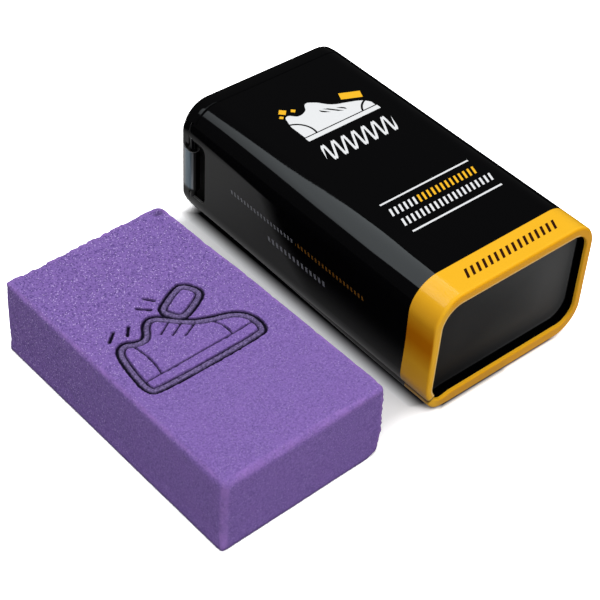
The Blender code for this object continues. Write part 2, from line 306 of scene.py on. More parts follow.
def build_piece(name, grids, place=lie_down, attributes=None):
    """One mesh object from grids of (points, faces); points that meet are merged, so that seams are closed."""
    points = np.concatenate([g.reshape(-1, 3) for g, _ in grids])
    starts = np.cumsum([0] + [g.size // 3 for g, _ in grids[:-1]])
    faces = np.concatenate([f + s for (_, f), s in zip(grids, starts)])
    used, faces = np.unique(faces, return_inverse=True)
    faces = faces.reshape(-1, 4)
    mesh = bpy.data.meshes.new(name)
    mesh.from_pydata(place(points[used]), [], faces)
    for key, values in (attributes or {}).items():
        values = values.astype(np.float32).ravel()[used]
        mesh.attributes.new(key, "FLOAT", "POINT").data.foreach_set("value", values)
    merged = bmesh.new()
    merged.from_mesh(mesh)
    bmesh.ops.remove_doubles(merged, verts=merged.verts, dist=MERGE_DISTANCE)
    merged.to_mesh(mesh)
    merged.free()
    return add_to_scene(name, mesh)


def give_thickness(obj):
    """Makes the sheet's inner wall and its cut edges, which take the second material, and fixes the mesh."""
    wall = obj.modifiers.new("sheet", "SOLIDIFY")
    wall.thickness = SHEET
    wall.offset = -1
    wall.use_even_offset = True
    wall.material_offset = 1
    wall.material_offset_rim = 1
    evaluated = obj.evaluated_get(bpy.context.evaluated_depsgraph_get())
    mesh = bpy.data.meshes.new_from_object(evaluated)
    obj.modifiers.clear()
    obj.data = mesh
    mesh.name = obj.name


def shade(obj, angle=35):
    """Smooth shading, with a hard line wherever two faces meet at more than the angle, in degrees."""
    obj.data.shade_smooth()
    obj.data.set_sharp_from_angle(angle=math.radians(angle))


# ---- noise and soft steps for worked shapes ----

LATTICE_SIZE = 24
LATTICE_SHIFT = 0.37


def lattice_noise(points, scale, seed):
    """Smooth random values from -1 to 1: random numbers on a cubic lattice, eased between its points."""
    table = np.random.default_rng(seed).uniform(-1, 1, (LATTICE_SIZE,) * 3)
    p = points / scale + LATTICE_SHIFT * LATTICE_SIZE
    cell = np.floor(p).astype(int)
    f = p - cell
    f = f * f * (3 - 2 * f)
    total = 0.0
    for corner in np.ndindex(2, 2, 2):
        index = tuple((cell[..., k] + corner[k]) % LATTICE_SIZE for k in range(3))
        weight = 1.0
        for k in range(3):
            weight = weight * (f[..., k] if corner[k] else 1 - f[..., k])
        total = total + table[index] * weight
    return total


def ease(low, high, value):
    """0 below low, 1 above high, and an S-shaped rise between."""
    t = np.clip((value - low) / (high - low), 0, 1)
    return t * t * (3 - 2 * t)


def plateau(bounds, value):
    """1 between the inner two of four bounds, 0 outside the outer two, eased between."""
    rising, full, falling, gone = bounds
    return ease(rising, full, value) * (1 - ease(falling, gone, value))


# ---- shader building ----

def math_method(operation, flipped=False):
    """A method that adds a Math node on a value and, where there is one, another; flipped puts the other first."""
    if flipped:
        return lambda self, other: self.math(operation, first=other)
    return lambda self, *other: self.math(operation, *other)


class Wire:
    """A shader socket in an expression: each operator adds its Math node; | is the larger value, & the smaller."""

    def __init__(self, finish, socket):
        self.finish = finish
        self.socket = socket

    def math(self, operation, *others, first=None):
        """Adds a Math node; first is a number that stands before this value."""
        inputs = [self, *others] if first is None else [first, self]
        return self.finish.node("Math", dict(enumerate(inputs)), operation=operation)

    __add__, __radd__ = math_method("ADD"), math_method("ADD", flipped=True)
    __sub__, __rsub__ = math_method("SUBTRACT"), math_method("SUBTRACT", flipped=True)
    __mul__, __rmul__ = math_method("MULTIPLY"), math_method("MULTIPLY", flipped=True)
    __truediv__ = math_method("DIVIDE")
    __or__, __and__ = math_method("MAXIMUM"), math_method("MINIMUM")
    __abs__, sqrt = math_method("ABSOLUTE"), math_method("SQRT")

    def wrap(self, pitch):
        """The remainder after whole pitches, from 0 to pitch."""
        return self.math("FLOORED_MODULO", pitch)

    def below(self, edge, soft=0.04):
        """1 where the value is under edge, 0 over it, with a change between that is soft wide."""
        return self.finish.node("MapRange", {0: self, 1: edge - soft / 2, 2: edge + soft / 2, 3: 1.0, 4: 0.0})

    def above(self, edge, soft=0.04):
        """0 where the value is under edge, 1 over it."""
        return self.finish.node("MapRange", {0: self, 1: edge - soft / 2, 2: edge + soft / 2, 3: 0.0, 4: 1.0})

    def within(self, low, high, soft=0.04):
        """1 from low to high, 0 outside."""
        return self.above(low, soft) & self.below(high, soft)


class Finish:
    """A material in the making: node adds a node of any kind, and the shorter methods add the usual ones."""

    def __init__(self, name):
        self.material = bpy.data.materials.new(name)
        self.material.use_nodes = True
        self.tree = self.material.node_tree
        self.surface = self.tree.nodes["Principled BSDF"]

    def node(self, kind, inputs=None, out=0, curve=None, **settings):
        """Adds a node: its settings and its curve first, then the values or wires of its inputs."""
        made = self.tree.nodes.new("ShaderNode" + kind)
        for key, value in settings.items():
            setattr(made, key, value)
        if curve:
            self.set_curve(made.mapping, curve)
        for key, value in (inputs or {}).items():
            self.feed(made.inputs[key], value)
        return Wire(self, made.outputs[out])

    @staticmethod
    def set_curve(mapping, points):
        """Gives the node's one curve the given (x, y) points."""
        curve = mapping.curves[0]
        while len(curve.points) < len(points):
            curve.points.new(0.5, 0.5)
        for point, (x, y) in zip(curve.points, points):
            point.location = (x, y)
            point.handle_type = "AUTO"
        mapping.update()

    def feed(self, socket, value):
        """Links a wire to a socket, or sets the socket to a plain value."""
        if isinstance(value, Wire):
            self.tree.links.new(value.socket, socket)
        else:
            socket.default_value = value

    def set(self, **values):
        """Feeds the shader's own sockets; names are written with _ for spaces."""
        for key, value in values.items():
            self.feed(self.surface.inputs[key.replace("_", " ")], value)

    def place(self):
        """The point being shaded, as wires x, y and z in millimetres."""
        scaled = self.node("VectorMath", {0: self.spot(), "Scale": 1000.0}, operation="SCALE")
        return [self.node("SeparateXYZ", {0: scaled}, out=axis) for axis in range(3)]

    def spot(self):
        """The point being shaded, in the object's own coordinates."""
        return self.node("TexCoord", out="Object")

    def mark(self, name):
        """What the mesh's points store under this name."""
        return self.node("Attribute", out="Fac", attribute_name=name)

    def noise(self, size, detail=2.0, roughness=0.5, stretch=None):
        """Cloudy noise with features about size millimetres across, from 0 to 1."""
        where = self.spot()
        if stretch:
            where = self.node("VectorMath", {0: where, 1: stretch}, operation="MULTIPLY")
        inputs = {"Vector": where, "Scale": 1000.0 / size, "Detail": detail, "Roughness": roughness}
        return self.node("TexNoise", inputs)

    def mix(self, factor, a, b):
        """Colour a where factor is 0, colour b where it is 1."""
        return self.node("Mix", {0: factor, 6: a, 7: b}, out=2, data_type="RGBA")

    def bump(self, height, distance, normal=None):
        """A normal tilted as if the surface rose by distance where height is 1, on top of another normal."""
        inputs = {"Height": height, "Distance": distance}
        if normal is not None:
            inputs["Normal"] = normal
        return self.node("Bump", inputs)


def paint(red, green, blue):
    """A colour given as it looks on a screen, from 0 to 255, as the linear values that a shader takes."""
    c = np.array([red, green, blue]) / 255
    linear = np.where(c <= 0.04045, c / 12.92, ((c + 0.055) / 1.055) ** 2.4)
    return (*[float(v) for v in linear], 1.0)


# ---- materials: lengths in millimetres, but a bump's distance in metres ----

BLACK = paint(6, 6, 7)
LACQUER_IOR = 1.33
YELLOW = paint(255, 194, 44)
SHADED_YELLOW = paint(208, 122, 6)
WHITE = paint(238, 240, 242)
BROWN = paint(52, 22, 10)
AMBER = paint(126, 84, 30)
PALE_GREY = paint(128, 130, 134)

# The print. Rows and rules lie at their distances down from the lid's end, side lines at their heights
LID_END = 46.85
BAND_EDGE = 84.9
TOP_FACE = 34.0
LEFT_FACE = -25.6
SHOE_MIDDLE = (2.0, 22.6)
SCRUB = {"half_height": 2.5, "pitch": 3.3, "half_width": 0.40, "start": -10.3, "count": 7}
SCRUB_MIDDLE = 10.4
RULES = ((59.3, 0.26, -12.6, 16.4), (70.9, 0.28, -12.7, 16.6))
ROW = {"half_height": 1.25, "pitch": 1.5, "width": 0.66, "start": -12.4}
ROWS_DOWN = (62.9, 67.2)
ROW_CHANGE = -3.8
SIDE_LINE = {"half_height": 0.55, "pitch": 1.30, "width": 0.60, "start": 20.0, "count": 39, "lean": -0.3}
SIDE_LINE_SHORT = {"half_height": 0.70, "pitch": 1.60, "width": 0.80, "start": 34.9, "count": 14, "lean": -0.3}
SIDE_HEIGHTS = (20.0, 14.8)
SIDE_GREY_END, SIDE_AMBER_START = 44.0, 45.2
BAND_ROW = {"half_height": 1.4, "pitch": 1.9, "width": 0.85, "start": -13.3, "count": 16, "lean": 0.5}
BAND_ROW_DOWN = 89.1

# The shoe in the print: its upper's height over its length, both as shares; lines as arcs (x, y, radius); crumbs as
# diamonds (x, y, reach)
SHOE_LENGTH = 24.0
SHOE_HEIGHT = 18.0
SHOE_CURVE = [
    (0.0, 0.05), (0.035, 0.40), (0.09, 0.52), (0.20, 0.43), (0.31, 0.47), (0.40, 0.60), (0.47, 0.56),
    (0.62, 0.36), (0.78, 0.27), (0.90, 0.20), (0.965, 0.12), (1.0, 0.02)]
TOE_AND_HEEL = ((12.5, -6.5, 5.6), (-13.0, -3.0, 5.2))
CRUMBS = ((-9.6, 7.2, 1.30), (-7.0, 6.1, 0.806), (-11.2, 5.6, 0.715))
RUBBING_BLOCK = {"middle": (9.2, 2.6), "tilt": math.radians(-24), "half_length": 2.9, "half_height": 1.35}


def gloss_relief(finish):
    """The slight orange peel of stoved lacquer and the faint waviness of thin sheet."""
    peel = finish.bump(finish.noise(1.6, 2.0), 0.003 * MM)
    return finish.bump(finish.noise(26.0, 1.0), 0.03 * MM, normal=peel)


def slanted_bars(along, across, half_height, pitch, width, start, count, lean=0.35):
    """A row of count leaning bars, one in every pitch from start, cut off above and below."""
    leaned = along - lean * across - start
    bar = leaned.wrap(pitch).within(0.0, width)
    half_gap = (pitch - width) / 2
    return bar & abs(across).below(half_height) & leaned.within(-half_gap, count * pitch - half_gap)


def scribble(along, across, half_height, pitch, half_width, start, count, lean=0.35):
    """A pen line that swings up and down as a leaning sine wave, its distance divided by its own slope."""
    leaned = along - lean * across - start
    turn = leaned * (2 * math.pi / pitch)
    wave = turn.math("SINE") * half_height
    steep = turn.math("COSINE") * (2 * math.pi / pitch * half_height)
    distance = abs(across - wave) / (steep * steep + 1.0).sqrt()
    return distance.below(half_width) & leaned.within(0.0, count * pitch)


def shoe_mark(finish, u, v):
    """A plain low shoe seen from the side, as (white mask, yellow mask), in millimetres about its middle.

    The upper lies between the sole line and a curve of height over length; the laces, the toe line, the heel
    line and the gap over the sole are cut out. A small tilted block and three crumbs are the yellow part.
    """
    height = finish.node("FloatCurve", {1: (u + SHOE_LENGTH / 2) / SHOE_LENGTH}, curve=SHOE_CURVE)
    over_sole = v + 4.2
    upper = over_sole.above(0.0) & (over_sole - height * SHOE_HEIGHT).below(0.0) & u.within(-11.7, 11.6)
    for centre_u, centre_v, radius in TOE_AND_HEEL:
        from_u, from_v = u - centre_u, v - centre_v
        line = abs((from_u * from_u + from_v * from_v).sqrt() - radius).below(0.28)
        upper = upper & (1.0 - line)
    lace_band = (v + 0.50 * u).within(0.4, 2.1) & u.within(-1.6, 4.6)
    laces = (u + 0.9 * v - 1.6).wrap(1.75).below(0.75) & lace_band
    sole = abs(v + 5.3).below(0.75) & abs(u).below(11.9)
    white = (upper & (1.0 - laces)) | sole

    middle, tilt = RUBBING_BLOCK["middle"], RUBBING_BLOCK["tilt"]
    block_u, block_v = u - middle[0], v - middle[1]
    along = block_u * math.cos(tilt) + block_v * math.sin(tilt)
    across = block_v * math.cos(tilt) - block_u * math.sin(tilt)
    block = abs(along).below(RUBBING_BLOCK["half_length"]) & abs(across).below(RUBBING_BLOCK["half_height"])
    yellow = block
    for crumb_u, crumb_v, size in CRUMBS:
        yellow = yellow | (abs(u - crumb_u) + abs(v - crumb_v)).below(size)
    return white & (1.0 - block), yellow


def broad_face_print(finish, x, y, down):
    """The marks on the face that looks up, as (white mask, yellow mask): shoe, scribble, two rules, two rows."""
    shoe_white, yellow = shoe_mark(finish, x - SHOE_MIDDLE[0], y - SHOE_MIDDLE[1])
    white = shoe_white | scribble(x, y - SCRUB_MIDDLE, **SCRUB)
    for rule_down, half_height, left, right in RULES:
        white = white | (abs(down - rule_down).below(half_height) & x.within(left, right))
    row_one = slanted_bars(x, ROWS_DOWN[0] - down, count=19, **ROW)
    row_two = slanted_bars(x, ROWS_DOWN[1] - down, count=20, **ROW)
    first_part = (x - 0.35 * (ROWS_DOWN[0] - down)).below(ROW_CHANGE)
    return white | row_two | (row_one & first_part), yellow | (row_one & (1.0 - first_part))


def printed_lacquer():
    """Gloss black lacquer over tinplate with a yellow band round the base and plain marks in white and yellow.

    The band is painted with shade on the left face, deepest in the middle of its height, and has a plain yellow on
    the rim's flat ring. Pale lines at the seam's and the rim's edges are partly wear and partly painted highlight,
    and the dark line under the seam's edge is painted shadow.
    """
    f = Finish("printed_black_lacquer")
    x, y, z = f.place()
    down = LID_END - y
    worn = f.mark("worn")
    facing_left = x.below(-23.8, 3.0)
    slant = 0.04 * facing_left * (17.0 - z | 0.0)
    band = (down - f.mark("under_layer") + slant).above(BAND_EDGE, 0.10)
    top = z.above(TOP_FACE)
    side = x.below(LEFT_FACE)

    white, yellow = (top & mask for mask in broad_face_print(f, x, y, down))
    side_line = side & slanted_bars(down, z - SIDE_HEIGHTS[0], **SIDE_LINE)
    short_line = side & slanted_bars(down, z - SIDE_HEIGHTS[1], **SIDE_LINE_SHORT)
    grey = (side_line & down.below(SIDE_GREY_END)) | short_line
    amber = side_line & down.above(SIDE_AMBER_START)
    brown = top & slanted_bars(x, BAND_ROW_DOWN - down, **BAND_ROW)
    colour = BLACK
    for mask, ink in ((white, WHITE), (yellow, YELLOW), (grey, PALE_GREY), (amber, AMBER)):
        colour = f.mix(mask, colour, ink)

    on_ring = y.below(-46.7, 0.4)
    # Painted shade on the band's left face, deepest in the middle of its height, not on the rim's flat ring
    side_shade = facing_left * (0.25 + 0.85 * z.within(17.0, 25.0, 7.0)) * (1.0 - on_ring)
    band_colour = f.mix(side_shade, f.mix(f.noise(9.0), YELLOW, paint(252, 188, 38)), SHADED_YELLOW)
    ring_colour = f.mix(x.below(-22.0, 2.0), paint(247, 174, 24), paint(255, 190, 40))
    band_colour = f.mix(on_ring, band_colour, ring_colour)
    colour = f.mix(band, colour, f.mix(brown, band_colour, BROWN))
    # Pale lines at the seam's edge and the rim's inner edge: partly wear, partly painted highlight
    pale_edge_colour = f.mix(band, paint(150, 150, 152), paint(255, 226, 160))
    colour = f.mix(worn * (0.35 + 0.5 * f.noise(1.4, 3.0)), colour, pale_edge_colour)
    # Painted shadow under the outer layer's edge at the seam
    colour = f.mix(f.mark("seam_shadow"), colour, paint(24, 12, 4))
    rough = 0.03 + 0.03 * f.noise(11.0, 3.0) + 0.16 * (white | yellow | grey) + 0.10 * band + 0.2 * worn
    f.set(Base_Color=colour, Roughness=rough, Normal=gloss_relief(f), IOR=LACQUER_IOR)
    return f.material


def lid_lacquer():
    """Gloss black lacquer, with a pale strip where the knuckle turns: partly rubbed through to the bright metal,
    partly painted highlight.
    """
    f = Finish("black_lacquer")
    x, y, z = f.place()
    # The pale knuckle strip: lacquer rubbed through to metal and a painted highlight, bluer and darker at its
    # outermost edge
    rubbed_and_highlight = x.below(-26.4, 0.3) & y.within(41.6, 45.6, 0.6) & z.within(11.2, 25.2, 0.8)
    rubbed_and_highlight = rubbed_and_highlight & (0.55 + 0.9 * f.noise(2.5, 3.0, stretch=(1.0, 1.0, 0.25)))
    highlight_tones = f.mix(x.below(-26.65, 0.3), paint(176, 180, 184), paint(112, 130, 142))
    f.set(Base_Color=f.mix(rubbed_and_highlight, BLACK, highlight_tones), Metallic=0.6 * rubbed_and_highlight)
    f.set(Roughness=0.03 + 0.04 * f.noise(5.0, 3.0) + 0.16 * rubbed_and_highlight, Normal=gloss_relief(f), IOR=LACQUER_IOR)
    return f.material


def plate_lacquer():
    """Satin black lacquer on the base plate, with a painted sheen that greys it to the right and painted shade that
    darkens it low down; dull on the wall of its recess.
    """
    f = Finish("black_plate_lacquer")
    x, y, z = f.place()
    recess = y.below(-43.5, 0.3)
    # Painted sheen: the plate greys towards the right
    to_right = x.above(0.0, 44.0)
    grey = f.mix(to_right * (0.3 + 0.7 * to_right), paint(38, 38, 39), paint(98, 99, 100))
    # Painted shade: the plate darkens low down
    grey = f.mix(z.below(14.0, 26.0) * 0.5, grey, paint(24, 24, 25))
    grey = f.mix(f.noise(8.0, 3.0) * 0.15, grey, paint(20, 20, 21))
    f.set(Base_Color=f.mix(recess, grey, paint(2, 2, 2)))
    f.set(Roughness=0.42 + 0.06 * f.noise(5.0, 3.0) + 0.35 * recess, Normal=gloss_relief(f))
    f.set(IOR=1.36, Specular_IOR_Level=0.25 * (1.0 - 0.9 * recess))
    return f.material


def bare_tinplate():
    """Tinned steel gone dull: fine rolling lines along the sheet and a soft cloudy sheen."""
    f = Finish("bare_tinplate")
    lines = f.noise(0.5, 2.0, stretch=(1.0, 0.04, 1.0))
    cloud = f.noise(7.0, 3.0)
    f.set(Base_Color=f.mix(cloud, (0.60, 0.60, 0.59, 1.0), (0.70, 0.70, 0.69, 1.0)))
    f.set(Metallic=0.9, Roughness=0.25 + 0.12 * lines + 0.10 * cloud, Normal=f.bump(lines, 0.002 * MM))
    return f.material


def crumb_rubber():
    """Soft crumb rubber: fine mottling, light specks of grit and a greyish ground in the pressed mark. Its edges are
    pale, partly wear and partly painted highlight, and painted shade darkens its grooves, its chip and its foot.

    The grain is coarsest towards the rear of the block and smoother towards the front.
    """
    f = Finish("purple_crumb_rubber")
    _, y, z = f.place()
    coarse = 0.25 + 0.75 * y.above(-8.0, 44.0)
    mottle = f.noise(0.5, 3.0, 0.7)
    grit = f.node("TexVoronoi", {"Vector": f.spot(), "Scale": 2000.0, "Randomness": 1.0})
    specks = grit.below(0.26, 0.12) & f.noise(0.7, 1.0).above(0.50, 0.08)
    pits = f.noise(0.38, 1.0).below(0.40, 0.08)
    speckle = f.noise(0.45, 2.0, 0.8).above(0.5, 0.2)
    base = f.mix(mottle.above(0.5, 0.36), paint(113, 86, 160), paint(148, 119, 195))
    for amount, tone in (
        (f.noise(7.0, 3.0).above(0.52, 0.3) * 0.35, paint(138, 104, 184)),
        (specks * coarse, paint(210, 188, 244)),
        (pits * (0.75 * coarse), paint(78, 56, 128)),
        # Pale edges: partly wear, partly painted highlight
        (f.mark("worn") * 0.62, paint(164, 124, 204)),
        # Painted shade along the foot
        (z.below(0.9, 1.2) * 0.7, paint(50, 36, 66)),
        (f.mark("ground") * 0.85, f.mix(speckle, paint(70, 62, 92), paint(132, 116, 164))),
        # Painted shade in the grooves and the chip
        ((f.mark("groove_and_chip_shade") * 1.5) & 1.0, paint(18, 9, 36)),
    ):
        base = f.mix(amount, base, tone)
    height = mottle * 0.6 + specks * 0.5 - pits * 0.8
    f.set(Base_Color=base, Roughness=0.88 - 0.18 * specks, Normal=f.bump(height, 0.08 * MM))
    return f.material


# ---- the tin's pieces ----

FLAT_STEP, HINGE_STEP, LID_ROWS, WALL_ROWS = 1.6 * MM, 1.2 * MM, 0.8 * MM, 1.7 * MM
BROAD_FLAT = span(-CORNER_X, CORNER_X, FLAT_STEP)
NEAR_BEND = 0.25 * MM
WINDOW_EDGES = np.linspace(WINDOW_HALF - WINDOW_CORNER_R, WINDOW_HALF, 4)
TAB_EDGES = np.array([KNUCKLE_HALF, NOTCH_HALF])
LID_RINGS = np.array([0.0, 0.12, 0.3, 0.5, 0.7, 0.85, 0.94, 0.985, 1.0])
PAN_RINGS = np.array([1.0, 0.985, 0.93, 0.85, 0.72, 0.55, 0.35, 0.15, 0.0])


def with_supports(values):
    """The same stations with one more just inside each end, so that the flat stays flat up to its bends."""
    return np.sort(np.concatenate([values, [values[0] + NEAR_BEND, values[-1] - NEAR_BEND]]))


def hinge_stations(edges, middle=0.0):
    """Stations across the narrow flat that hold the given edges, set off both ways from the middle."""
    inside = middle + span(-edges[0], edges[0], HINGE_STEP)[1:-1]
    ends = CORNER_Y - np.array([0, NEAR_BEND])
    return np.sort(np.concatenate([-ends, middle - edges, inside, middle + edges, ends]))


def body_profile():
    """(r, z) from the curl inside the mouth, down neck, shoulder and wall, to the rim's turned edge.

    Rows lie close together where the window's corners are cut and where the rim's pale edge ends.
    """
    curl = (-NECK_INSET - MOUTH_CURL_R, TIN_LENGTH - MOUTH_DROP - MOUTH_CURL_R)
    outer_r = NECK_INSET - SHOULDER_INNER_R
    foot = (-outer_r, SHOULDER + SHOULDER_INNER_R)
    head = (-outer_r, SHOULDER - outer_r)
    corner = WINDOW_LOW + WINDOW_CORNER_R
    turn = np.radians(np.linspace(90, 0, 13))
    bend_z = RIM_FOOT + RIM_BEND_R
    wall = joined(
        np.array([head[1], head[1] - NEAR_BEND]),
        span(head[1] - NEAR_BEND, corner, LID_ROWS),
        corner - WINDOW_CORNER_R * np.cos(turn),
        span(WINDOW_LOW, bend_z + NEAR_BEND, WALL_ROWS),
        np.array([bend_z + NEAR_BEND, bend_z]),
    )
    ring_end = (-RIM_WIDTH + RIM_EDGE_R, RIM_FOOT + RIM_EDGE_R)
    return np.concatenate([
        arc(curl, MOUTH_CURL_R, 250, 0, 20),
        arc(foot, SHOULDER_INNER_R, 180, 270, 6)[:-1],
        arc(head, outer_r, 90, 0, 8)[:-1],
        np.stack([0 * wall, wall], -1),
        arc((-RIM_BEND_R, bend_z), RIM_BEND_R, 0, -90, 12)[1:],
        [[ring_end[0] + RIM_PALE_REACH + side * RIM_PALE_FADE / 2, RIM_FOOT] for side in (1, -1)],
        arc(ring_end, RIM_EDGE_R, -90, -180, 8),
        [[-RIM_WIDTH, ring_end[1] + RIM_EDGE_LEG]],
    ])


def shoulder_lift(section, profile):
    """How far the shoulder stands higher beside the hinge, where it fills the cut-back part of the lid's skirt."""
    beside_hinge = section[:, 0] < RELIEF_X - RELIEF_PLAY
    return (RAISED_SHOULDER - SHOULDER) * beside_hinge * plateau(RAISED_HEIGHTS, profile[:, 1, None])


def corner_station(angle):
    """The station on a round corner that faces the given way, in degrees: the corner's middle plus its radius."""
    normal = direction(angle)
    return np.concatenate([np.sign(normal) * (CORNER_X, CORNER_Y) + TIN_CORNER_R * normal, normal])


def seam_section():
    """The section cut open at the seam: from the outer layer's edge once round, and on under itself.

    Returns the stations, how deep each lies under the outer layer, which are under it, and how pale each is marked,
    partly as wear and partly as painted highlight.
    The inner layer sinks by one sheet along an eased ramp before the seam, and ends at the tongue's width.
    """
    whole = wall_section(hinge_stations(WINDOW_EDGES), with_supports(BROAD_FLAT))
    whole = whole[np.abs(bearings(whole) - SEAM_ANGLE) > 0.5]
    first = int(np.argmin((bearings(whole) - SEAM_ANGLE) % 360))
    turned = np.roll(whole, -first, axis=0)
    facing = bearings(turned)
    edge = corner_station(SEAM_ANGLE)
    beside_edge = corner_station(SEAM_ANGLE + math.degrees(SEAM_PALE_EDGE / TIN_CORNER_R))
    below_flat = turned[(turned[:, 1] > CORNER_Y - TINY) & (facing > SEAM_ANGLE)]
    side_reach = TONGUE_WIDTH - math.radians(180 - SEAM_ANGLE) * TIN_CORNER_R
    tongue_end = np.array([-TIN_WIDTH / 2, CORNER_Y - side_reach, -1.0, 0.0])
    section = np.vstack([edge, beside_edge, turned, edge, below_flat, tongue_end])

    before_seam = facing < SEAM_ANGLE
    hidden = np.ones(len(below_flat) + 2)
    ramp = ease(SEAM_ANGLE - SEAM_BLEND, SEAM_ANGLE, facing) * before_seam
    sink = (SHEET + SHEET_PLAY) * np.concatenate([[0, 0], ramp, hidden])
    under = np.concatenate([[0, 0], ease(*UNDER_LAYER, facing) * before_seam, hidden])
    worn = np.zeros(len(section))
    worn[0] = 1.0
    return section, sink, under, worn


def window_corners(profile):
    """The two low corners of the window, as grids: each row of cells ends on the corner's quarter circle.

    Its reach is the straight half width plus the root of radius squared less the height below its centre squared.
    """
    on_wall = np.abs(profile[:, 0]) < TINY
    in_corner = (profile[:, 1] > WINDOW_LOW - TINY) & (profile[:, 1] < WINDOW_LOW + WINDOW_CORNER_R + TINY)
    heights = profile[on_wall & in_corner, 1]
    below = WINDOW_LOW + WINDOW_CORNER_R - heights
    reach = WINDOW_HALF - WINDOW_CORNER_R + np.sqrt(np.maximum(WINDOW_CORNER_R ** 2 - below ** 2, 0))
    share = (WINDOW_HALF - WINDOW_EDGES) / WINDOW_CORNER_R
    grids = []
    for side in (1, -1):
        y = side * (WINDOW_HALF + share[None, :] * (reach - WINDOW_HALF)[:, None])
        wedge = np.stack([np.full(y.shape, -TIN_WIDTH / 2), y, heights[:, None] + 0 * y], -1)
        grid, faces = patch(wedge)
        grids.append((grid, faces[:, ::-side]))
    return grids


def make_body(lacquer, tinplate):
    """The wrapped body sheet, lapped at its side seam, with its rim, neck, mouth curl and hinge window.

    The body profile is carried round the seam section; the cells in the window are left out and its corners
    filled. The hinge bridge is a rolled ribbon across the window, a circle open by 60 degrees on its inner side.
    """
    section, sink, under, worn = seam_section()
    profile = body_profile()
    swell = seam_spring(section, profile) - rim_spread(section, profile)
    grid = swept(section, profile, sink, swell, shoulder_lift(section, profile))
    hinge_side = section[:, 2] < HINGE_SIDE
    narrow = hinge_side[:-1] & hinge_side[1:] & (sink[:-1] == 0)
    mid_y = (section[:-1, 1] + section[1:, 1]) / 2
    in_window = narrow & (np.abs(mid_y) < WINDOW_HALF)
    above = (profile[:-1, 1] + profile[1:, 1]) / 2 > WINDOW_LOW
    wall = patch(grid, keep=~(above[:, None] & in_window[None, :]))
    corners = window_corners(profile)

    facing = bearings(section)
    far_in = profile[:, 0] < -RIM_WIDTH + RIM_EDGE_R + RIM_PALE_REACH
    rim_edge = far_in & (profile[:, 1] < RIM_FOOT + 0.8 * RIM_EDGE_R)
    # Painted shadow on the inner layer just under the outer layer's edge
    gap = ease(*SHADED_GAP, facing) * (facing < SEAM_ANGLE) * (1 - worn)
    # The pale lines at the seam's edge and the rim's inner edge are partly wear and partly painted highlight
    marks = {
        "under_layer": np.broadcast_to(under, grid.shape[:2]),
        "seam_shadow": np.broadcast_to(gap, grid.shape[:2]),
        "worn": np.maximum(worn, RIM_PALE_EDGE * rim_edge[:, None] * plateau(RIM_PALE_BEARINGS, facing)),
    }
    unmarked = np.zeros(sum(g.size // 3 for g, _ in corners))
    marks = {key: np.concatenate([values.ravel(), unmarked]) for key, values in marks.items()}
    body = build_piece("tin_body", [wall, *corners], attributes=marks)
    finish_sheet(body, "tin", lacquer, tinplate)
    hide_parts("body_shell")

    roll = arc((HINGE_X, HINGE_Z), BRIDGE_R, 30, 330, 40)
    bridge_end = WINDOW_HALF + BRIDGE_ROOT
    bridge = build_piece("hinge_bridge", [patch(ribbon(roll, span(-bridge_end, bridge_end, 2 * MM)))])
    finish_sheet(bridge, "tin", lacquer, tinplate)


def finish_sheet(obj, body, outer, inner):
    """Lacquer outside, tinplate inside and on the cut edges; then the piece rides on its body."""
    obj.data.materials.append(outer)
    obj.data.materials.append(inner)
    give_thickness(obj)
    shade(obj)
    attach(obj, body)


def make_pan(plate_finish):
    """The base plate: a leg up the inside of the wall, a flange over the rim, a recess wall and a flat floor.

    The profile of leg, flange and recess wall is carried round the section; rings shrunk from its end fill the
    floor, which bows down slightly.
    """
    bend = RIM_BEND_R - SHEET - PAN_PLAY
    bend_z = RIM_FOOT + RIM_BEND_R
    flange_z = bend_z - bend
    floor_z = RIM_FOOT + PAN_RECESS
    profile = np.concatenate([
        [[-RIM_BEND_R + bend, bend_z + PAN_LEG]],
        arc((-RIM_BEND_R, bend_z), bend, 0, -90, 8),
        arc((-PAN_INSET + PAN_RIM_R, flange_z + PAN_RIM_R), PAN_RIM_R, -90, -180, 6),
        arc((-PAN_INSET - PAN_RIM_R, floor_z - PAN_RIM_R), PAN_RIM_R, 0, 90, 8),
    ])
    section = wall_section(with_supports(span(-CORNER_Y, CORNER_Y, FLAT_STEP)), with_supports(BROAD_FLAT))
    wall = swept(section, profile, swell=seam_spring(section, profile) - rim_spread(section, profile))
    floor = plate(wall[-1], PAN_RINGS, rise=-PAN_BOW)
    pan = build_piece("tin_base_plate", [patch(grid, closed=True) for grid in (wall, floor)])
    finish_sheet(pan, "tin", plate_finish, plate_finish)
    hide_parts("base_plate")


def skirt_lean(section, profile):
    """How far the skirt leans in: as the square of the height above its foot, and nothing beside the hinge."""
    height = np.clip((profile[:, 1, None] - TIN_LENGTH + LID_SKIRT - LEAN_FOOT) / LEAN_HEIGHT, 0, 1)
    return -LID_LEAN * height ** 2 * ease(*LEAN_STARTS, np.abs(bearings(section) - 180))


def lid_profile(bend_centre, leave):
    """(r, z) from the plate's edge down bend and skirt to the hem's turned edge.

    The bend is a quarter circle with a point where the tab leaves it, in degrees.
    """
    hem_z = TIN_LENGTH - LID_SKIRT + HEM_R
    hem_top = hem_z + HEM_SUPPORT
    skirt = np.array([NOTCH_TOP, (NOTCH_TOP + RELIEF_TOP) / 2, RELIEF_TOP, (RELIEF_TOP + hem_z) / 2, hem_top])
    return np.concatenate([
        arc(bend_centre, LID_BEND_R, 90, leave, 7)[:-1],
        arc(bend_centre, LID_BEND_R, leave, 0, 4),
        np.stack([0 * skirt, skirt], -1),
        arc((-HEM_R, hem_z), HEM_R, 0, -180, 10),
        [[-2 * HEM_R, hem_z + HEM_LEG]],
    ])


